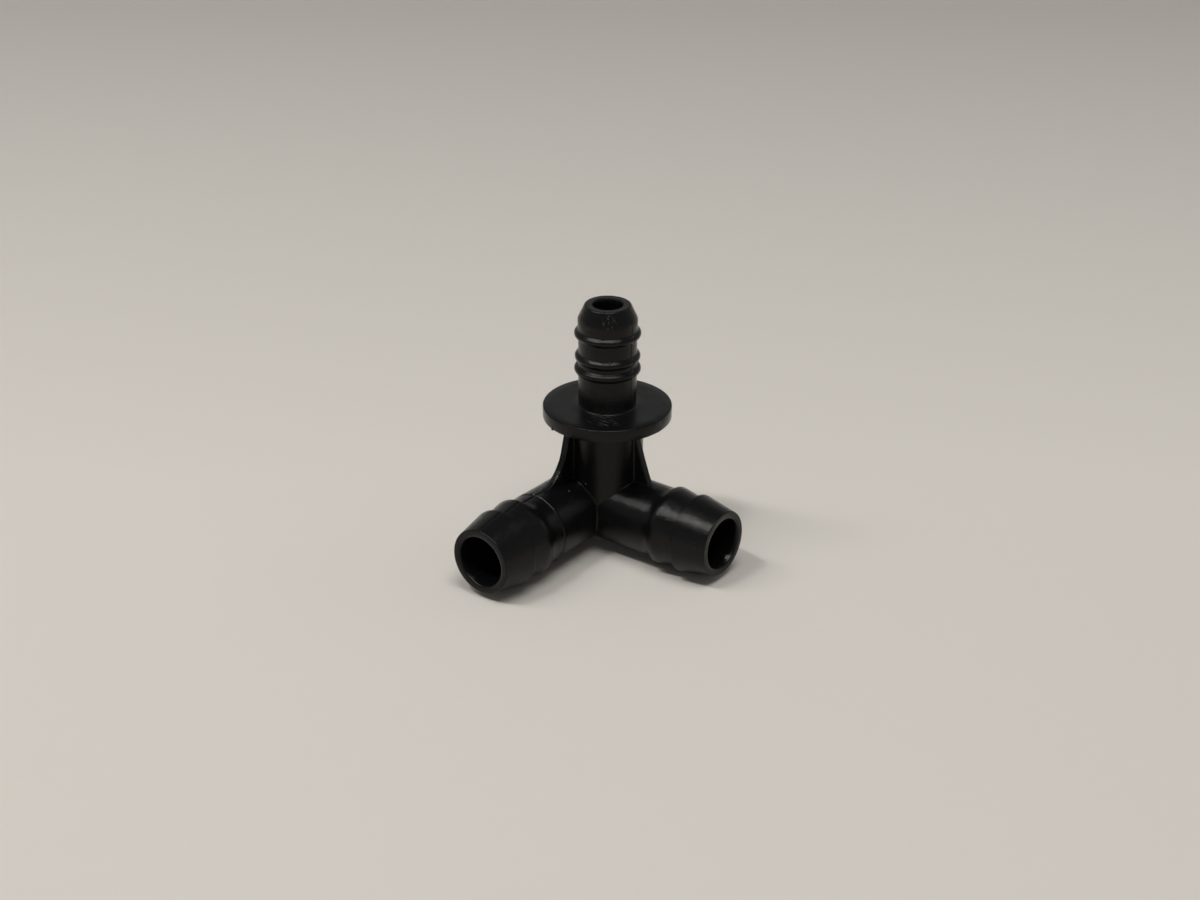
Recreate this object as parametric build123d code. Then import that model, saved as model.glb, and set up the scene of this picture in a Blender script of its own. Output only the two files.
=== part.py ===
from build123d import *
import os
from math import cos, pi, radians, sin, tan

# A moulded three-way elbow for soft hose, all sizes in millimetres.
# Two level legs with barbs meet at a right angle. A thinner beaded nozzle stands over them on a round flange.
# The origin is the middle of the flange's top face. +Z runs up the nozzle, +X out of the short leg,
# and -Y out of the long leg.

# Hose legs
leg_tube_diameter = 11.3
leg_bore_diameter = 8.0
leg_mouth_diameter = 10.4
leg_lip_bevel = 0.2
bore_lip_bevel = 0.15
short_leg_reach = 22.35      # nozzle axis to the mouth
long_leg_reach = 27.1        # nozzle axis to the mouth
long_leg_offset = 3.2        # the long leg's axis lies this far to one side of the nozzle's axis
short_bore_overrun = 2.0     # the short leg's bore ends this far past the long leg's axis

# Barbs, the same on both legs
barb_crest_diameter = 12.5
barb_root_diameter = 11.1
first_crest_depth = 5.55     # mouth to the first crest
barb_pitch = 4.25
first_barb_back = 0.36       # length of the steep face behind each crest
second_barb_back = 0.7

# Body and flange
body_diameter = 11.25
body_height = 15.25          # leg axes to the flange's underside
flange_diameter = 20.0
flange_thickness = 2.0
flange_edge_bevel = 0.15

# Nozzle, with heights from the flange's top face
nozzle_diameter = 9.0
nozzle_bore_diameter = 4.7
nozzle_length = 16.55
nozzle_pin_seat = 0.3        # how deep the nozzle's core pin sat in the floor of the leg bores
nozzle_foot_bevel = 0.3
nose_diameter = 7.06
nose_lip_bevel = 0.25
land_diameter = 9.2          # smooth band between the nose cone and the first bead
land_height = 14.3           # where the nose cone starts
bead_width = 1.24
bead_flats = 5               # flats that make up a bead's rounded crest
bead_heights = (6.1, 8.15, 11.9)
bead_crest_diameters = (10.26, 10.06, 10.26)

# Gusset ribs
rib_thickness = 1.1
long_rib_lean = 15.5         # degrees off upright
long_rib_sweep = 0.624       # share of the plain leg between the rib's slope and the barbs that its sweep takes
short_rib_foot = 8.6         # nozzle axis to the rib's foot
short_rib_hollow = 0.2       # how far the short rib's edge curves in
short_rib_sink = 0.15        # its upper end starts this deep in the body
rib_foot_sink = 0.12         # both ribs run this deep into the legs

# Rounded inside corners between tubes, and between tubes and ribs
seam_radius = 0.25
seam_tolerance = 1e-4        # how near an edge lies to both of its surfaces

# Worked out from the sizes above
leg_radius = leg_tube_diameter / 2
body_radius = body_diameter / 2
underside = -flange_thickness
leg_level = underside - body_height
elbow_centre = (-long_leg_offset, 0, leg_level)
long_leg_barbs = long_leg_reach - first_crest_depth - barb_pitch - second_barb_back
short_leg_mouth = Plane(origin=(short_leg_reach, 0, leg_level), z_dir=(1, 0, 0))
long_leg_mouth = Plane(origin=(-long_leg_offset, -long_leg_reach, leg_level), z_dir=(0, -1, 0))
short_rib_plane = Plane(origin=(0, 0, 0), x_dir=(1, 0, 0), z_dir=(0, -1, 0))
long_rib_plane = Plane(origin=(-long_leg_offset, 0, 0), x_dir=(0, -1, 0), z_dir=(-1, 0, 0))


def bevelled_outline(*corners):
    """A flat face from corners given as (x, y, bevel). The bevel is the length cut off both sides."""
    points = []
    for before, corner, after in zip(corners[-1:] + corners[:-1], corners, corners[1:] + corners[:1]):
        here = Vector(*corner[:2])
        bevel = corner[2]
        sides = (before, after) if bevel else (before,)
        points += [here + (Vector(*side[:2]) - here).normalized() * bevel for side in sides]
    return make_face(Polyline(*points, close=True))


def turned(face):
    """The solid that a half section makes about +Z. The section's x is the radius and its y the height."""
    return revolve(Plane.XZ * face, Axis.Z)


def leg(length):
    """One barbed leg without its bore. It stands along +Z with its mouth at the origin."""
    crest = barb_crest_diameter / 2
    second_crest_depth = first_crest_depth + barb_pitch
    return turned(bevelled_outline(
        (0, 0, 0),
        (leg_mouth_diameter / 2, 0, leg_lip_bevel),
        (crest, -first_crest_depth, 0),
        (barb_root_diameter / 2, -first_crest_depth - first_barb_back, 0),
        (crest, -second_crest_depth, 0),
        (leg_radius, -second_crest_depth - second_barb_back, 0),
        (leg_radius, -length, 0),
        (0, -length, 0),
    ))


def leg_bore(length):
    """What a leg's bore removes, with the mouth's inner edge bevelled."""
    radius = leg_bore_diameter / 2
    return turned(bevelled_outline(
        (0, bore_lip_bevel, 0),
        (radius + 2 * bore_lip_bevel, bore_lip_bevel, 0),
        (radius, -bore_lip_bevel, 0),
        (radius, -length, 0),
        (0, -length, 0),
    ))


def legs():
    """Both legs and the ball-shaped corner where they meet."""
    short_leg = short_leg_mouth * leg(short_leg_reach + long_leg_offset)
    long_leg = long_leg_mouth * leg(long_leg_reach)
    return short_leg + long_leg + Pos(*elbow_centre) * Sphere(leg_radius)


def passages():
    """The bores of both legs, which meet in the corner, and the nozzle's bore down into them."""
    short_bore = short_leg_mouth * leg_bore(short_leg_reach + long_leg_offset + short_bore_overrun)
    long_bore = long_leg_mouth * leg_bore(long_leg_reach)
    floor = leg_level - leg_bore_diameter / 2 - nozzle_pin_seat
    upright = Pos(0, 0, floor) * Cylinder(
        nozzle_bore_diameter / 2, nozzle_length - floor, align=(Align.CENTER, Align.CENTER, Align.MIN)
    )
    return short_bore + long_bore + upright


def body_and_flange():
    """The upright tube over the elbow and the flange on top of it."""
    rim = flange_diameter / 2
    return turned(bevelled_outline(
        (0, 0, 0),
        (rim, 0, flange_edge_bevel),
        (rim, underside, flange_edge_bevel),
        (body_radius, underside, 0),
        (body_radius, leg_level, 0),
        (0, leg_level, 0),
    ))


def bead(height, crest_diameter):
    """The half section of one bead, whose round crest is made of flats and whose foot is sunk in the nozzle."""
    surface = nozzle_diameter / 2
    step = pi / bead_flats
    swell = (crest_diameter / 2 - surface) / cos(step / 2)
    sunk = surface - bead_width / 2
    points = [(sunk, height + bead_width / 2), (sunk, height - bead_width / 2)]
    for flat in range(bead_flats + 1):
        angle = flat * step - pi / 2
        points.append((surface + swell * cos(angle), height + bead_width / 2 * sin(angle)))
    return make_face(Polyline(*points, close=True))


def nozzle():
    """The nozzle above the flange, with its nose cone, its land and its beads."""
    radius = nozzle_diameter / 2
    skirt = radius + nozzle_foot_bevel
    land = land_diameter / 2
    land_foot = bead_heights[-1]
    buried = underside / 2
    section = bevelled_outline(
        (0, buried, 0),
        (skirt, buried, 0),
        (skirt, 0, 0),
        (radius, nozzle_foot_bevel, 0),
        (radius, land_foot, 0),
        (land, land_foot, 0),
        (land, land_height, 0),
        (nose_diameter / 2, nozzle_length, nose_lip_bevel),
        (0, nozzle_length, 0),
    )
    for height, crest_diameter in zip(bead_heights, bead_crest_diameters):
        section += bead(height, crest_diameter)
    return turned(section)


def long_rib():
    """The rib over the long leg. Its edge leans out from the flange and sweeps into the leg in one arc."""
    foot = leg_level + leg_radius - rib_foot_sink
    knee = body_radius + (underside - foot) * tan(radians(long_rib_lean))
    turn = radians(90 - long_rib_lean)
    sweep = long_rib_sweep * (long_leg_barbs - knee)
    toe = knee + sweep + rib_foot_sink
    corners = [
        (0, leg_level), (0, underside / 2), (body_radius, underside / 2), (body_radius, underside),
        (knee, foot), (toe, foot), (toe, leg_level),
    ]
    rounding = [sweep / tan(turn / 2) if corner == (knee, foot) else 0 for corner in corners]
    outline = make_face(FilletPolyline(*corners, radius=rounding, close=True))
    return extrude(long_rib_plane * outline, amount=rib_thickness / 2, both=True)


def short_rib():
    """The rib over the short leg, nearly straight and hollowed a little."""
    head = body_radius - short_rib_sink
    foot = leg_level + leg_radius - rib_foot_sink
    edge = SagittaArc((head, underside), (short_rib_foot, foot), -short_rib_hollow)
    frame = Polyline(
        (short_rib_foot, foot), (short_rib_foot, leg_level), (0, leg_level), (0, underside / 2),
        (head, underside / 2), (head, underside),
    )
    outline = make_face(Curve() + edge + frame)
    return extrude(short_rib_plane * outline, amount=rib_thickness / 2, both=True)


def surfaces_at(point):
    """How many surfaces of the tubes, the corner and the ribs' sides this point lies on."""
    reach = point - Vector(*elbow_centre)
    distances = (
        Vector(point.X, point.Y).length - body_radius,
        Vector(reach.Y, reach.Z).length - leg_radius,
        Vector(reach.X, reach.Z).length - leg_radius,
        reach.length - leg_radius,
        abs(reach.Y) - rib_thickness / 2,
        abs(reach.X) - rib_thickness / 2,
    )
    return sum(abs(distance) < seam_tolerance for distance in distances)


def seams(solid):
    """The inside corners where two tubes, or a tube and a rib's side, run into each other."""
    return [
        edge for edge in solid.edges()
        if edge.geom_type != GeomType.CIRCLE and all(surfaces_at(edge @ place) > 1 for place in (0.1, 0.5, 0.9))
    ]


def connector():
    """The whole moulding."""
    outside = legs() + body_and_flange() + nozzle() + long_rib() + short_rib()
    return fillet(seams(outside), seam_radius) - passages()


os.makedirs("parts", exist_ok=True)
moulding = connector()
moulding.label = "connector_body"
export_step(moulding, "parts/connector_body.step")
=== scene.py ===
import math
import bpy
import numpy as np
from mathutils import Matrix, Vector


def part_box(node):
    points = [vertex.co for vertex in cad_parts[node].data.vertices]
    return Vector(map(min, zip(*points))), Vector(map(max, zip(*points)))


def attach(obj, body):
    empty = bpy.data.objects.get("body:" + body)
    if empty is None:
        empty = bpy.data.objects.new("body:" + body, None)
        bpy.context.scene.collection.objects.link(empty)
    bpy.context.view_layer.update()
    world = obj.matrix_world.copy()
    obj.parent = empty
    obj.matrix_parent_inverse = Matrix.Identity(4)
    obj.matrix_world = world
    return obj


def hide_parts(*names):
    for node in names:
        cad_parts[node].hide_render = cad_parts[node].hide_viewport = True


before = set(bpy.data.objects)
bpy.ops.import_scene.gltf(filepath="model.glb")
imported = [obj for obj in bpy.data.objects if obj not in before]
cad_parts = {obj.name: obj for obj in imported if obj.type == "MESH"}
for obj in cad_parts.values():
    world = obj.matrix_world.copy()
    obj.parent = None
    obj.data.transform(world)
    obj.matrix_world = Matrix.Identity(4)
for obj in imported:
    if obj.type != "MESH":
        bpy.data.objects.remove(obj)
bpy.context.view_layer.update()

# The scene is in metres. The sizes of the part are in millimetres.
MM = 0.001
low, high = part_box("connector_body")
NOZZLE_TOP = high.z / MM
SHORT_LEG_REACH = high.x / MM
LONG_LEG_REACH = -low.y / MM

# Legs
LEG_RADIUS = 5.65
LEG_BORE_RADIUS = 4.0
MOUTH_RADIUS = 5.2
CREST_RADIUS = 6.25
ROOT_RADIUS = 5.55
CREST_DEPTHS = (5.55, 9.8)  # from the mouth
BARB_BACKS = (0.36, 0.7)  # lengths of the steep faces behind the crests
LEG_LEVEL = low.z / MM + CREST_RADIUS
LONG_LEG_OFFSET = 3.2
SHORT_BORE_OVERRUN = 2.0

# Body, flange and nozzle
FLANGE_RADIUS = high.y / MM
BODY_RADIUS = 5.625
FLANGE_THICKNESS = 2.0
NOZZLE_RADIUS = 4.5
NOZZLE_BORE_RADIUS = 2.35
NOZZLE_PIN_SEAT = 0.3
NOSE_RADIUS = 3.53
LAND_RADIUS = 4.6
LAND_TOP = 14.3
BEADS = ((6.1, 5.13), (8.15, 5.03), (11.9, 5.13))  # heights and crest radii
BEAD_FOOT = 0.72  # half a bead's height where it meets the nozzle
BEAD_SHOULDER = 0.28  # half its height at the crest, before rounding

# Ribs
RIB_HALF = 0.55
RIB_SINK = 0.12
LONG_RIB_LEAN = math.radians(15.5)
LONG_RIB_SWEEP = 0.624
SHORT_RIB_FOOT = 8.6
SHORT_RIB_HEAD = 5.475
SHORT_RIB_HOLLOW = 0.2
SHORT_RIB_ARC = 0.98  # share of the short rib's edge that its arc takes

# Roundings of edges and inside corners
CREST_ROUND = 0.12
CREST_LIFT = 0.01  # a crest's corner lies this much further out, to make up for its rounding
ROOT_ROUND = 0.06
BARB_END_ROUND = 0.2
LIP_ROUND = 0.2
BORE_FLARE = 0.15
BORE_END_ROUND = 0.05
BORE_LIP_ROUND = 0.2
BORE_EDGE_ROUND = 0.08
FLANGE_ROUND = 0.2
NOZZLE_FOOT_ROUND = 0.35
BEAD_FOOT_ROUND = 0.25
BEAD_CREST_ROUND = 0.5
CONE_ROUND = 0.3
NOSE_ROUND = 0.25
RIB_ROUND = 0.15
SEAM_ROUND = 0.25

# Lines that the mould leaves: each has its height, which is below 0 for a groove, and its half width
PARTING_LINE = (0.03, 0.07)
SIDE_GROOVE = (-0.09, 0.09)
TOP_GROOVE = (-0.14, 0.13)
WITNESS_RING = (0.16, 0.13)
NOTCH = (-0.12, 0.12)

# Where those lines run
NOZZLE_LINE_FOOT = 0.3
RIM_BAND = 0.4  # how far in from the rim its lines reach
RIM_FADE = 0.1
TOP_GROOVE_X = -3.45
TOP_GROOVE_END = 0.1  # from the mouth
TOP_GROOVE_GAP = 0.2  # from the flange
WITNESS_RING_Y = -13.6
WITNESS_RING_BAND = 0.4
NOTCH_LEAN = 0.55
NOTCH_START = 0.1
NOTCH_SPAN = (0.15, 1.7)
LINE_FADE = 0.3

# Small lumps that the mould leaves
FLASH_NUB = ((-3.4, -9.28, -1.92), 0.25)
NUB_ROUND = 0.1
SPECK_HEIGHT = 0.13
SPECK_WIDTH = 0.15
SPECKS = (
    (-2.5, -5.2, -11.6),
    (-0.78, -5.61, -12.02),
    (0.21, -5.62, -11.7),
    (-0.84, -8.54, -12.12),
    (3.05, -3.39, 8.83),
)

# How finely the mesh is cut, and how its points are set on the surface
COARSE_EDGE = 1.6
FINE_EDGE = 0.22
MARK_EDGE = 0.13
SEEN_DEPTH = 0.6  # what lies deeper than this in a bore isn't cut finely
SURFACE_TOLERANCE = 0.02
TURN_LIMIT = math.cos(math.radians(35))
MOST_FACES = 199000
MERGE_DIGITS = 4
FIRST_STEPS = 4
LATER_STEPS = 3
LONGEST_STEP = 0.3
LEAST_SLOPE = 0.25

# Limits of the distance field
FAR = 30.0  # how far an outline reaches past its axis
TIE = 1e-9
TINY = 1e-12
TOGETHER = 1e-5

# Plastic: the noises have their scale per millimetre and their detail
PLASTIC_COLOUR = (0.0045, 0.0043, 0.0045)
PLASTIC_ROUGHNESS = 0.17
PLASTIC_GLOSS = 0.2
PATCH_NOISE = (1.4, 3.0)
PATCH_LEVELS = (0.35, 0.65)
PATCH_SMOOTHER = 0.03
PATCH_ROUGHER = 0.05
WAVE_NOISE = (0.35, 1.0)
WAVE_DEPTH = 0.06
GRAIN_NOISE = (5.0, 3.0)
GRAIN_DEPTH = 0.045

# Scuffs, dust and painted glints: each spot has its centre and its reach
SCUFFS = (((3.6, -5.6, 0.0), 3.2), ((2.55, -3.05, 15.2), 1.5), ((-3.2, -9.0, -10.2), 1.4))
# The pale colour of scuffs, pushed further for the dust speck and for the painted glints on the specks
SCUFF_AND_GLINT_COLOUR = (0.045, 0.043, 0.041)
SCUFF_ROUGHNESS = 0.2
SCUFF_DEPTH = 0.02
STROKE_TURN = (0.2, 0.3, 0.5)
STROKE_SCALE = (0.35, 4.5, 2.0)
STROKE_NOISE = (1.3, 3.0)
STROKE_LEVELS = (0.55, 0.68)
STRAY_NOISE = (0.28, 2.0)
STRAY_LEVELS = (0.56, 0.72)
STRAY_SHARE = 0.15
# Painted glints: pale spots on the specks stand in for their highlights. The spot at the short leg's mouth is
# a real dust speck.
SPECK_GLINT_REACH = 0.14
DUST_AND_GLINTS = [((21.74, 2.1, -20.65), 0.45)] + [(speck, SPECK_GLINT_REACH) for speck in SPECKS]
DUST_AND_GLINT_STRENGTH = 6.0
CRUMB_NOISE = (4.0, 2.0)
CRUMB_LEVELS = (0.4, 0.55)
CRUMB_LEAST = 0.3
SPOT_CORE = 0.4  # share of a spot's reach that has its full strength

# Paper, with painted shade that darkens it away from the camera. Lengths are in metres.
PAPER_COLOUR = (0.645, 0.613, 0.57)
PAPER_ROUGHNESS = 0.9
PAPER_SIZE = 3
PAPER_AWAY = (-0.609, 0.793, 0)
PAPER_FADE = (0.02, 0.38)
PAPER_FAR_SHADE_SHARE = 0.6
PAPER_GAP = 0.01 * MM

# Room: its walls are brighter low down, and two parts of it glow
ROOM_COLOUR = (1, 0.985, 0.965)
WALL_HEIGHTS = (0.42, 0.62)
WALL_STRENGTHS = (0.30, 0.13)
GLOWS = (  # direction, angles of the core and the edge, strength
    ((0.25, -0.15, 0.957), 6, 20, 6.5),
    ((0.447, 0.71, 0.547), 7, 16, 0.5),
)

# Lamps: name, direction, direction of their length, size in metres, power in watts
LAMP_COLOUR = (1, 0.985, 0.95)
LAMP_DISTANCE = 1.3
LAMPS = (
    ("ceiling lamp", (-0.387, -0.443, 0.808), (0.330, 0.028, 0.171), (0.62, 0.12), 4.0),
    ("lamp core", (-0.185, -0.435, 0.881), (1, 0, 0), (0.2, 0.05), 3.2),
)

# Camera, fitted to the photo
CAMERA_BACK = Vector((0.54571280, -0.71037889, 0.44447652))
CAMERA_RIGHT = Vector((0.79199767, 0.61051486, 0.00336036))
CAMERA_DISTANCE = 327.236
CAMERA_AIM_RIGHT = -1.1067
CAMERA_AIM_HEIGHT = -8.0808
CAMERA_FIELD = 31.988
CAMERA_CLIP = (0.005, 20)


# Materials

class Nodes:
    """Short ways to add and join shader nodes."""

    def __init__(self, tree):
        self.tree = tree

    def add(self, kind, inputs=(), **settings):
        """One node. An input is a value or another node's output."""
        node = self.tree.nodes.new(kind)
        for name, value in settings.items():
            setattr(node, name, value)
        for name, value in dict(inputs).items():
            if isinstance(value, bpy.types.NodeSocket):
                self.tree.links.new(value, node.inputs[name])
            else:
                node.inputs[name].default_value = value
        return node

    def combine(self, operation, first, second=0.0, third=0.0):
        """One step of arithmetic."""
        inputs = {0: first, 1: second, 2: third}
        return self.add("ShaderNodeMath", inputs, operation=operation).outputs[0]

    def measure(self, operation, vector, other):
        """A number from two vectors, such as their distance."""
        inputs = {0: vector, 1: other}
        return self.add("ShaderNodeVectorMath", inputs, operation=operation).outputs["Value"]

    def noise(self, position, per_mm, detail):
        """A noise between 0 and 1."""
        inputs = {"Vector": position, "Scale": per_mm, "Detail": detail}
        return self.add("ShaderNodeTexNoise", inputs).outputs["Fac"]

    def ramp(self, value, start, end, out_start, out_end):
        """A smooth step from one number to another."""
        inputs = {"Value": value, "From Min": start, "From Max": end, "To Min": out_start, "To Max": out_end}
        return self.add("ShaderNodeMapRange", inputs, interpolation_type="SMOOTHSTEP").outputs["Result"]

    def mix(self, share, first, second, **settings):
        """A colour between two others."""
        inputs = {0: share, 6: (*first, 1), 7: (*second, 1)}
        return self.add("ShaderNodeMix", inputs, data_type="RGBA", **settings).outputs[2]

    def bump(self, height, depth, normal=None):
        """A normal that is bent by a height of up to this depth in millimetres."""
        inputs = {"Height": height, "Strength": 1.0, "Distance": depth * MM}
        if normal is not None:
            inputs["Normal"] = normal
        return self.add("ShaderNodeBump", inputs).outputs["Normal"]

    def spots(self, position, places, strength):
        """The strength in the middle of every spot, and 0 beyond its reach."""
        found = 0.0
        for centre, reach in places:
            distance = self.measure("DISTANCE", position, centre)
            spot = self.ramp(distance, reach * SPOT_CORE, reach, strength, 0.0)
            found = self.combine("MAXIMUM", found, spot)
        return found


def material(name, colour, roughness):
    """A material and its shader."""
    made = bpy.data.materials.new(name)
    made.use_nodes = True
    shader = made.node_tree.nodes["Principled BSDF"]
    shader.inputs["Base Color"].default_value = (*colour, 1)
    shader.inputs["Roughness"].default_value = roughness
    return made, shader


def plastic():
    """Glossy black plastic: a slightly wavy, grained skin with scuffs where hoses and fingers have rubbed, a
    dust speck at the short leg's mouth, and painted glints on the moulding's specks.
    """
    made, shader = material("black_plastic", PLASTIC_COLOUR, PLASTIC_ROUGHNESS)
    nodes = Nodes(made.node_tree)
    shader.inputs["Specular IOR Level"].default_value = PLASTIC_GLOSS
    place = nodes.add("ShaderNodeTexCoord").outputs["Object"]
    scaled = {0: place, 1: (1 / MM,) * 3}
    position = nodes.add("ShaderNodeVectorMath", scaled, operation="MULTIPLY").outputs[0]

    stretched = {"Vector": position, "Rotation": STROKE_TURN, "Scale": STROKE_SCALE}
    strokes = nodes.add("ShaderNodeMapping", stretched).outputs[0]
    scratch = nodes.ramp(nodes.noise(strokes, *STROKE_NOISE), *STROKE_LEVELS, 0.0, 1.0)
    stray = nodes.ramp(nodes.noise(position, *STRAY_NOISE), *STRAY_LEVELS, 0.0, STRAY_SHARE)
    rubbed = nodes.combine("MAXIMUM", nodes.spots(position, SCUFFS, 1.0), stray)
    scuff = nodes.combine("MULTIPLY", scratch, rubbed)

    # Pale spots: real dust at the short leg's mouth, and painted glints on the specks that stand in for their
    # highlights
    crumbs = nodes.ramp(nodes.noise(position, *CRUMB_NOISE), *CRUMB_LEVELS, CRUMB_LEAST, 1.0)
    dust_and_glints = nodes.combine("MULTIPLY", crumbs, nodes.spots(position, DUST_AND_GLINTS, DUST_AND_GLINT_STRENGTH))
    pale = nodes.combine("ADD", scuff, dust_and_glints)
    colour = nodes.mix(pale, PLASTIC_COLOUR, SCUFF_AND_GLINT_COLOUR, clamp_factor=False)
    made.node_tree.links.new(colour, shader.inputs["Base Color"])

    smooth, rough = PLASTIC_ROUGHNESS - PATCH_SMOOTHER, PLASTIC_ROUGHNESS + PATCH_ROUGHER
    patches = nodes.ramp(nodes.noise(position, *PATCH_NOISE), *PATCH_LEVELS, smooth, rough)
    roughness = nodes.combine("MULTIPLY_ADD", scuff, SCUFF_ROUGHNESS, patches)
    made.node_tree.links.new(roughness, shader.inputs["Roughness"])

    waves = nodes.bump(nodes.noise(position, *WAVE_NOISE), WAVE_DEPTH)
    grain = nodes.bump(nodes.noise(position, *GRAIN_NOISE), GRAIN_DEPTH, waves)
    scored = nodes.bump(scuff, SCUFF_DEPTH, grain)
    made.node_tree.links.new(scored, shader.inputs["Normal"])
    return made


# Stage

def camera():
    """The camera at the photo's angle."""
    back = CAMERA_BACK.normalized()
    right = (CAMERA_RIGHT - back * CAMERA_RIGHT.dot(back)).normalized()
    up = back.cross(right)
    level_right = (-back).cross(Vector((0, 0, 1))).normalized()
    aim = level_right * CAMERA_AIM_RIGHT + Vector((0, 0, CAMERA_AIM_HEIGHT))
    place = (aim + back * CAMERA_DISTANCE) * MM
    data = bpy.data.cameras.new("camera")
    data.sensor_fit = "HORIZONTAL"
    data.angle = math.radians(CAMERA_FIELD)
    data.clip_start, data.clip_end = CAMERA_CLIP
    shot = bpy.data.objects.new("camera", data)
    turn = Matrix((right, up, back)).transposed()
    shot.matrix_world = Matrix.Translation(place) @ turn.to_4x4()
    bpy.context.scene.collection.objects.link(shot)
    bpy.context.scene.camera = shot


def floor():
    """The paper under the part, its colour darkened away from the camera by painted shade."""
    bpy.ops.mesh.primitive_plane_add(size=PAPER_SIZE, location=(0, 0, low.z - PAPER_GAP))
    ground = bpy.context.object
    ground.name = "floor"
    made, shader = material("paper", PAPER_COLOUR, PAPER_ROUGHNESS)
    nodes = Nodes(made.node_tree)
    place = nodes.add("ShaderNodeTexCoord").outputs["Object"]
    away = nodes.measure("DOT_PRODUCT", place, PAPER_AWAY)
    near, far = PAPER_FADE
    limits = {"Value": away, "From Min": near, "From Max": far}
    share = nodes.add("ShaderNodeMapRange", limits).outputs["Result"]
    # Painted shade: the paper's colour is darker away from the camera
    shaded_far_colour = tuple(channel * PAPER_FAR_SHADE_SHARE for channel in PAPER_COLOUR)
    tone = nodes.mix(share, PAPER_COLOUR, shaded_far_colour)
    made.node_tree.links.new(tone, shader.inputs["Base Color"])
    ground.data.materials.append(made)


def room():
    """The light that comes from all round."""
    world = bpy.data.worlds.new("room")
    bpy.context.scene.world = world
    world.use_nodes = True
    background = world.node_tree.nodes["Background"]
    background.inputs["Color"].default_value = (*ROOM_COLOUR, 1)
    nodes = Nodes(world.node_tree)
    towards = nodes.add("ShaderNodeTexCoord").outputs["Generated"]
    height = nodes.add("ShaderNodeSeparateXYZ", {0: towards}).outputs["Z"]
    strength = nodes.ramp(height, *WALL_HEIGHTS, *WALL_STRENGTHS)
    for centre, core, edge, power in GLOWS:
        nearness = nodes.measure("DOT_PRODUCT", towards, Vector(centre).normalized())
        start, full = math.cos(math.radians(edge)), math.cos(math.radians(core))
        strength = nodes.combine("ADD", strength, nodes.ramp(nearness, start, full, 0.0, power))
    world.node_tree.links.new(strength, background.inputs["Strength"])


def lamp(name, towards, along, size, power):
    """A lamp in one direction from the part, turned towards it, with its length along another."""
    data = bpy.data.lights.new(name, "AREA")
    data.shape = "RECTANGLE"
    data.size, data.size_y = size
    data.energy = power
    data.color = LAMP_COLOUR
    light = bpy.data.objects.new(name, data)
    direction = Vector(towards).normalized()
    length = Vector(along)
    length = (length - direction * length.dot(direction)).normalized()
    turn = Matrix((length, direction.cross(length), direction)).transposed()
    light.matrix_world = Matrix.Translation(direction * LAMP_DISTANCE) @ turn.to_4x4()
    bpy.context.scene.collection.objects.link(light)


# The connector's surface as a distance field: every shape gives its signed distance and its slope

class Outline:
    """A closed flat outline with rounded corners, given as (x, y, radius) with the inside on the left."""

    def __init__(self, *corners):
        places = [np.array(corner[:2], float) for corner in corners]
        self.arcs = []
        enter, leave = [], []
        for i, corner in enumerate(corners):
            here = places[i]
            before = self.unit(places[i - 1] - here)
            after = self.unit(places[(i + 1) % len(places)] - here)
            cut = 0.0
            if len(corner) > 2:
                radius = corner[2]
                half = math.acos(before @ after) / 2
                cut = radius / math.tan(half)
                inward = self.unit(before + after)
                centre = here + inward * radius / math.sin(half)
                bulges = before[1] * after[0] > before[0] * after[1]
                self.arcs.append((centre, radius, -inward, math.sin(half), 1.0 if bulges else -1.0))
            enter.append(here + before * cut)
            leave.append(here + after * cut)
        self.starts = leave
        self.runs = [end - start for start, end in zip(leave, enter[1:] + enter[:1])]

    @staticmethod
    def unit(vector):
        return vector / np.linalg.norm(vector)

    def measure(self, x, y):
        """Signed distance, and its slope along x and y."""
        best = np.full(x.shape, np.inf)
        clear, value, slope_x, slope_y = (np.zeros_like(x) for _ in range(4))
        for start, run in zip(self.starts, self.runs):
            normal = self.unit(np.array((run[1], -run[0])))
            dx, dy = x - start[0], y - start[1]
            along = (dx * run[0] + dy * run[1]) / (run @ run)
            held = np.clip(along, 0, 1)
            near_x, near_y = dx - run[0] * held, dy - run[1] * held
            distance = np.hypot(near_x, near_y)
            side = dx * normal[0] + dy * normal[1]
            tied = (np.abs(distance - best) <= TIE) & (np.abs(side) > clear)
            nearer = (distance < best - TIE) | tied
            best[nearer] = distance[nearer]
            clear[nearer] = np.abs(side[nearer])
            beside = nearer & (along == held)
            value[beside] = side[beside]
            slope_x[beside], slope_y[beside] = normal
            past = nearer & (along != held)
            sign = np.where(side[past] >= 0, 1.0, -1.0)
            value[past] = distance[past] * sign
            slope_x[past] = near_x[past] / distance[past] * sign
            slope_y[past] = near_y[past] / distance[past] * sign
        for centre, radius, outward, reach, bulge in self.arcs:
            dx, dy = x - centre[0], y - centre[1]
            off = np.maximum(np.hypot(dx, dy), TINY)
            distance = np.abs(off - radius)
            within = (dx * outward[0] + dy * outward[1]) / off >= reach
            nearer = within & (distance <= best + TIE)
            best[nearer] = distance[nearer]
            value[nearer] = (off[nearer] - radius) * bulge
            slope_x[nearer] = dx[nearer] / off[nearer] * bulge
            slope_y[nearer] = dy[nearer] / off[nearer] * bulge
        return value, slope_x, slope_y


X_AXIS, Y_AXIS, Z_AXIS = np.eye(3)


def turned(outline, points, origin, axis):
    """The solid that an outline makes about an axis. The outline's x is the radius and its y the height."""
    reach = points - np.array(origin, float)
    height = reach @ axis
    across = reach - height[:, None] * axis
    radius = np.maximum(np.linalg.norm(across, axis=1), TIE)
    value, slope_r, slope_h = outline.measure(radius, height)
    return value, across / radius[:, None] * slope_r[:, None] + axis * slope_h[:, None]


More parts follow.
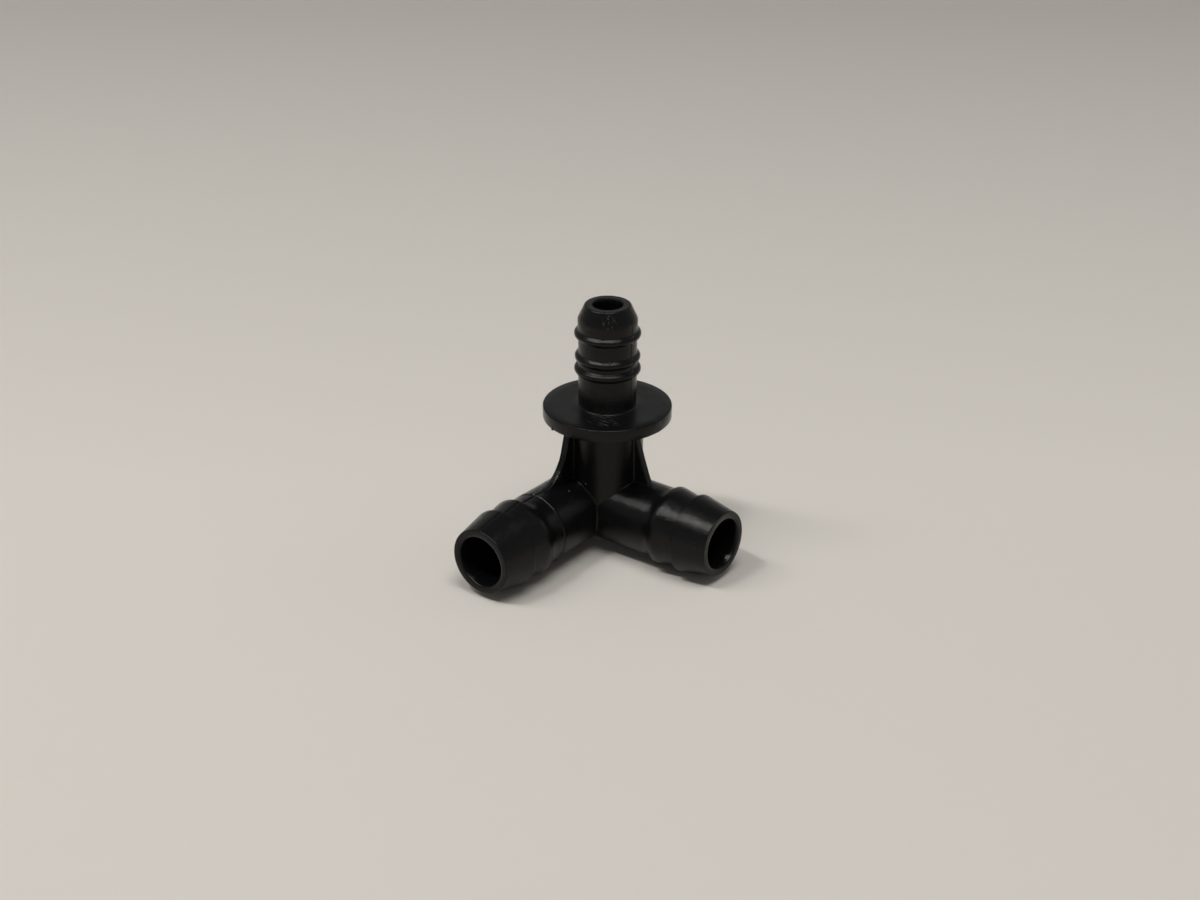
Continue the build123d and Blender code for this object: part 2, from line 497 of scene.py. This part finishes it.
def plate(outline, points, across, along, middle):
    """A flat rib: an outline in the plane of one axis and Z, with a thickness and rounded edges."""
    side = points @ across - middle
    face = np.abs(side) - RIB_HALF, np.where(side < 0, -1.0, 1.0)[:, None] * across
    value, slope_x, slope_y = outline.measure(points @ along, points[:, 2])
    return common(face, (value, slope_x[:, None] * along + slope_y[:, None] * Z_AXIS), RIB_ROUND)


def ball(points, centre, radius):
    """A solid ball."""
    reach = points - np.array(centre, float)
    distance = np.maximum(np.linalg.norm(reach, axis=1), TIE)
    return distance - radius, reach / distance[:, None]


def united(a, b):
    """Union with a sharp inside corner. Where both surfaces run together, the second one counts."""
    first = a[0] < b[0] - TOGETHER
    return np.where(first, a[0], b[0]), np.where(first[:, None], a[1], b[1])


def joined(a, b, radius):
    """Union with a rounded inside corner, which fades out where the two surfaces run alongside."""
    rounding = radius * np.clip(1 - (a[1] * b[1]).sum(1), 0, 1)
    u = np.maximum(rounding - a[0], 0)
    v = np.maximum(rounding - b[0], 0)
    both = (u > 0) & (v > 0)
    length = np.where(both, np.hypot(u, v), 1.0)
    value, slope = united(a, b)
    rounded = (u[:, None] * a[1] + v[:, None] * b[1]) / length[:, None]
    return np.where(both, rounding - length, value), np.where(both[:, None], rounded, slope)


def flipped(a):
    """Inside and outside changed over."""
    return -a[0], -a[1]


def common(a, b, radius):
    """Intersection with a rounded outside corner."""
    return flipped(joined(flipped(a), flipped(b), radius))


def leg_outline(length):
    """Half a leg's section, from its inner end at the depth of its length to the mouth at 0."""
    first, second = CREST_DEPTHS
    crest = CREST_RADIUS + CREST_LIFT
    return Outline(
        (-FAR, -length),
        (LEG_RADIUS, -length),
        (LEG_RADIUS, -second - BARB_BACKS[1], BARB_END_ROUND),
        (crest, -second, CREST_ROUND),
        (ROOT_RADIUS, -first - BARB_BACKS[0], ROOT_ROUND),
        (crest, -first, CREST_ROUND),
        (MOUTH_RADIUS, 0, LIP_ROUND),
        (-FAR, 0),
    )


def bore_outline(radius, length, flare):
    """Half a bore's section, which widens at the mouth."""
    return Outline(
        (-FAR, -length),
        (radius, -length, BORE_END_ROUND),
        (radius, -flare, BORE_LIP_ROUND),
        (radius + 2 * flare, flare),
        (radius + 2 * flare, FAR),
        (-FAR, FAR),
    )


def column_outline():
    """Half the section of the body, the flange and the beaded nozzle."""
    corners = [
        (-FAR, LEG_LEVEL),
        (BODY_RADIUS, LEG_LEVEL),
        (BODY_RADIUS, -FLANGE_THICKNESS, SEAM_ROUND),
        (FLANGE_RADIUS, -FLANGE_THICKNESS, FLANGE_ROUND),
        (FLANGE_RADIUS, 0, FLANGE_ROUND),
        (NOZZLE_RADIUS, 0, NOZZLE_FOOT_ROUND),
    ]
    for height, crest in BEADS:
        upper = LAND_RADIUS if height == BEADS[-1][0] else NOZZLE_RADIUS
        corners += [
            (NOZZLE_RADIUS, height - BEAD_FOOT, BEAD_FOOT_ROUND),
            (crest, height - BEAD_SHOULDER, BEAD_CREST_ROUND),
            (crest, height + BEAD_SHOULDER, BEAD_CREST_ROUND),
            (upper, height + BEAD_FOOT, BEAD_FOOT_ROUND),
        ]
    corners += [
        (LAND_RADIUS, LAND_TOP, CONE_ROUND),
        (NOSE_RADIUS, NOZZLE_TOP, NOSE_ROUND),
        (-FAR, NOZZLE_TOP),
    ]
    return Outline(*corners)


RIB_FOOT = LEG_LEVEL + LEG_RADIUS - RIB_SINK
LONG_LEG_BARBS = LONG_LEG_REACH - CREST_DEPTHS[1] - BARB_BACKS[1]
LONG_RIB_KNEE = BODY_RADIUS - (FLANGE_THICKNESS + RIB_FOOT) * math.tan(LONG_RIB_LEAN)
LONG_RIB_TOE = LONG_RIB_KNEE + LONG_RIB_SWEEP * (LONG_LEG_BARBS - LONG_RIB_KNEE) + RIB_SINK


def long_rib_outline():
    """The rib's edge leans out from the flange and sweeps into the leg in one arc."""
    sweep = LONG_RIB_TOE - RIB_SINK - LONG_RIB_KNEE
    return Outline(
        (0, LEG_LEVEL),
        (LONG_RIB_TOE, LEG_LEVEL),
        (LONG_RIB_TOE, RIB_FOOT),
        (LONG_RIB_KNEE, RIB_FOOT, sweep / math.tan((math.pi / 2 - LONG_RIB_LEAN) / 2)),
        (BODY_RADIUS, -FLANGE_THICKNESS),
        (BODY_RADIUS, -FLANGE_THICKNESS / 2),
        (0, -FLANGE_THICKNESS / 2),
    )


def short_rib_outline():
    """The rib's edge is nearly straight. It is hollowed by an arc over almost its whole length."""
    foot = np.array((SHORT_RIB_FOOT, RIB_FOOT))
    head = np.array((SHORT_RIB_HEAD, -FLANGE_THICKNESS))
    chord = head - foot
    half = np.linalg.norm(chord) / 2
    inward = np.array((-chord[1], chord[0])) / (2 * half)
    dip = 2 * SHORT_RIB_HOLLOW
    radius = SHORT_RIB_ARC * math.hypot(half, dip) / math.tan(math.atan(dip / half))
    return Outline(
        (0, LEG_LEVEL),
        (SHORT_RIB_FOOT, LEG_LEVEL),
        tuple(foot),
        (*((foot + head) / 2 + inward * dip), radius),
        tuple(head),
        (SHORT_RIB_HEAD, -FLANGE_THICKNESS / 2),
        (0, -FLANGE_THICKNESS / 2),
    )


SHORT_MOUTH = (SHORT_LEG_REACH, 0, LEG_LEVEL)
LONG_MOUTH = (-LONG_LEG_OFFSET, -LONG_LEG_REACH, LEG_LEVEL)
ELBOW = (-LONG_LEG_OFFSET, 0, LEG_LEVEL)
SHORT_LEG_LENGTH = SHORT_LEG_REACH + LONG_LEG_OFFSET
PIN_DEPTH = NOZZLE_TOP - LEG_LEVEL + LEG_BORE_RADIUS + NOZZLE_PIN_SEAT
SHORT_LEG = leg_outline(SHORT_LEG_LENGTH)
LONG_LEG = leg_outline(LONG_LEG_REACH)
COLUMN = column_outline()
LONG_RIB = long_rib_outline()
SHORT_RIB = short_rib_outline()
SHORT_BORE = bore_outline(LEG_BORE_RADIUS, SHORT_LEG_LENGTH + SHORT_BORE_OVERRUN, BORE_FLARE)
LONG_BORE = bore_outline(LEG_BORE_RADIUS, LONG_LEG_REACH, BORE_FLARE)
UPRIGHT_BORE = bore_outline(NOZZLE_BORE_RADIUS, PIN_DEPTH, BORE_EDGE_ROUND)


def outside(points):
    """The moulding without its bores and its marks."""
    legs = joined(
        turned(SHORT_LEG, points, SHORT_MOUTH, X_AXIS),
        turned(LONG_LEG, points, LONG_MOUTH, -Y_AXIS),
        SEAM_ROUND,
    )
    solid = united(legs, ball(points, ELBOW, LEG_RADIUS))
    solid = joined(solid, turned(COLUMN, points, (0, 0, 0), Z_AXIS), SEAM_ROUND)
    solid = joined(solid, plate(LONG_RIB, points, X_AXIS, -Y_AXIS, -LONG_LEG_OFFSET), SEAM_ROUND)
    return joined(solid, plate(SHORT_RIB, points, Y_AXIS, X_AXIS, 0.0), SEAM_ROUND)


def bores(points):
    """All three bores as one shape."""
    legs = united(
        turned(SHORT_BORE, points, SHORT_MOUTH, X_AXIS),
        turned(LONG_BORE, points, LONG_MOUTH, -Y_AXIS),
    )
    return united(legs, turned(UPRIGHT_BORE, points, (0, 0, NOZZLE_TOP), Z_AXIS))


def fade(value, start, end, ramp=LINE_FADE):
    """1 between start and end, and 0 outside."""
    return np.clip((value - start) / ramp, 0, 1) * np.clip((end - value) / ramp, 0, 1)


def mould_lines(points):
    """For each line: distance from it, direction across it, height, half width, and where it runs."""
    x, y, z = points.T
    from_long_axis = np.hypot(x + LONG_LEG_OFFSET, z - LEG_LEVEL)
    on_nozzle = fade(z, NOZZLE_LINE_FOOT, LAND_TOP)
    on_rim = fade(z, -FLANGE_THICKNESS, 0.0, RIM_FADE) * (np.hypot(x, y) > FLANGE_RADIUS - RIM_BAND)
    along_long_leg = fade(y, -LONG_LEG_REACH + TOP_GROOVE_END, -BODY_RADIUS)
    on_top = along_long_leg * fade(z, LEG_LEVEL + LEG_BORE_RADIUS, -FLANGE_THICKNESS - TOP_GROOVE_GAP)
    on_long_leg = (np.abs(from_long_axis - LEG_RADIUS) < WITNESS_RING_BAND) * 1.0
    at_foot = fade(z, *NOTCH_SPAN)
    front, side = y < -NOSE_RADIUS, x > NOSE_RADIUS
    return (
        (x, X_AXIS, *PARTING_LINE, (on_nozzle + on_rim) * front),
        (y, Y_AXIS, *SIDE_GROOVE, on_nozzle * side),
        (y, Y_AXIS, *PARTING_LINE, on_rim * side),
        (x - TOP_GROOVE_X, X_AXIS, *TOP_GROOVE, on_top),
        (y - WITNESS_RING_Y, Y_AXIS, *WITNESS_RING, on_long_leg),
        (y + NOTCH_LEAN * (z - NOTCH_START), Y_AXIS, *NOTCH, at_foot * side),
    )


def surface(points):
    """Signed distance to the finished moulding, and its slope."""
    value, slope = joined(outside(points), ball(points, *FLASH_NUB), NUB_ROUND)
    for distance, direction, height, width, share in mould_lines(points):
        swell = height * share * np.exp(-(distance / width) ** 2)
        value = value - swell
        slope += (2 * distance / width ** 2 * swell)[:, None] * direction
    for speck in SPECKS:
        reach = points - np.array(speck)
        swell = SPECK_HEIGHT * np.exp(-(reach ** 2).sum(1) / SPECK_WIDTH ** 2)
        value = value - swell
        slope += (2 / SPECK_WIDTH ** 2 * swell)[:, None] * reach
    return common((value, slope), flipped(bores(points)), BORE_EDGE_ROUND)


# The mesh: the frame's own mesh, cut finer where the surface turns, with every point set on the surface

def settle(points, steps):
    """Moves points onto the surface."""
    for _ in range(steps):
        value, slope = surface(points)
        move = -(value / np.maximum((slope ** 2).sum(1), LEAST_SLOPE))[:, None] * slope
        length = np.maximum(np.linalg.norm(move, axis=1), TINY)
        points = points + move * np.minimum(1, LONGEST_STEP / length)[:, None]
    return points


def near_mark(points, reach):
    """Which points lie near a mould line or a speck."""
    found = np.zeros(len(points), bool)
    for distance, _, _, width, share in mould_lines(points):
        found |= (np.abs(distance) < width + reach) & (share > 0)
    for speck in SPECKS:
        found |= np.linalg.norm(points - np.array(speck), axis=1) < SPECK_WIDTH + reach
    return found


def too_long(points, ends, lengths):
    """Which edges are too long for the surface that they lie on."""
    middles = (points[ends[:, 0]] + points[ends[:, 1]]) / 2
    _, slope = surface(points)
    slope /= np.linalg.norm(slope, axis=1)[:, None]
    turns = (slope[ends[:, 0]] * slope[ends[:, 1]]).sum(1) < TURN_LIMIT
    leaves = np.abs(surface(middles)[0]) > SURFACE_TOLERANCE
    marked = near_mark(middles, lengths / 2) & (lengths > MARK_EDGE)
    seen = outside(middles)[0] > -SEEN_DEPTH
    return (lengths > COARSE_EDGE) | (seen & (lengths > FINE_EDGE) & (turns | leaves)) | marked


def halves(corners, middles):
    """The triangles that one triangle becomes, when its first edge is cut and the others may be."""
    a, b, c = corners.T
    _, bc, ca = middles.T
    made = []
    for cut_bc in (False, True):
        for cut_ca in (False, True):
            chosen = ((bc >= 0) == cut_bc) & ((ca >= 0) == cut_ca)
            first, second, third = a[chosen], b[chosen], c[chosen]
            on_first, on_second, on_third = (middle[chosen] for middle in middles.T)
            triangles = [(first, on_first, on_third), (on_third, on_first, third)]
            if not cut_ca:
                triangles = [(first, on_first, third)]
            if cut_bc:
                triangles += [(on_first, second, on_second), (on_first, on_second, third)]
            else:
                triangles += [(on_first, second, third)]
            made += [np.stack(triangle, 1) for triangle in triangles]
    return made


def cut(points, faces):
    """Halves every edge that is too long, and with it the longest edge of each triangle beside it."""
    edges = np.sort(np.stack([faces, np.roll(faces, -1, 1)], 2).reshape(-1, 2), 1)
    ends, sides = np.unique(edges, axis=0, return_inverse=True)
    sides = sides.reshape(-1, 3)
    lengths = np.linalg.norm(points[ends[:, 0]] - points[ends[:, 1]], axis=1)
    marked = too_long(points, ends, lengths)
    rows = np.arange(len(faces))
    longest = sides[rows, np.argmax(lengths[sides], 1)]
    touched = marked[sides].any(1)
    while not marked[longest[touched]].all():
        marked[longest[touched]] = True
        touched = marked[sides].any(1)
    number = np.full(len(ends), -1)
    number[marked] = len(points) + np.arange(marked.sum())
    middles = settle(points[ends[marked]].mean(1), LATER_STEPS)
    turn = np.argmax(lengths[sides[touched]], 1)
    order = (turn[:, None] + np.arange(3)) % 3
    rows = np.arange(touched.sum())[:, None]
    made = halves(faces[touched][rows, order], number[sides[touched]][rows, order])
    return np.vstack([points, middles]), np.vstack([faces[~touched], *made])


def moulding(source):
    """The finished mesh's points, in millimetres, and its triangles."""
    mesh = source.data
    mesh.calc_loop_triangles()
    corners = np.empty(len(mesh.vertices) * 3)
    mesh.vertices.foreach_get("co", corners)
    triangles = np.empty(len(mesh.loop_triangles) * 3, int)
    mesh.loop_triangles.foreach_get("vertices", triangles)
    corners = np.round(corners.reshape(-1, 3) / MM, MERGE_DIGITS)
    points, merged = np.unique(corners, axis=0, return_inverse=True)
    faces = merged.reshape(-1)[triangles.reshape(-1, 3)]
    whole = (faces != np.roll(faces, 1, 1)).all(1)
    points, faces = settle(points, FIRST_STEPS), faces[whole]
    while True:
        finer = cut(points, faces)
        if len(finer[1]) > MOST_FACES or len(finer[1]) == len(faces):
            return points, faces
        points, faces = finer


def connector(finish):
    """The detailed moulding, which stands for the frame's node."""
    points, faces = moulding(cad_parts["connector_body"])
    _, slope = surface(points)
    normals = slope / np.linalg.norm(slope, axis=1)[:, None]
    mesh = bpy.data.meshes.new("elbow_connector")
    mesh.from_pydata((points * MM).tolist(), [], faces.tolist())
    mesh.polygons.foreach_set("use_smooth", [True] * len(faces))
    mesh.normals_split_custom_set_from_vertices(normals.tolist())
    mesh.materials.append(finish)
    piece = bpy.data.objects.new("elbow_connector", mesh)
    bpy.context.scene.collection.objects.link(piece)
    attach(piece, "root")
    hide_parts("connector_body")


camera()
floor()
room()
for settings in LAMPS:
    lamp(*settings)
connector(plastic())
bpy.context.scene.view_settings.view_transform = "Standard"
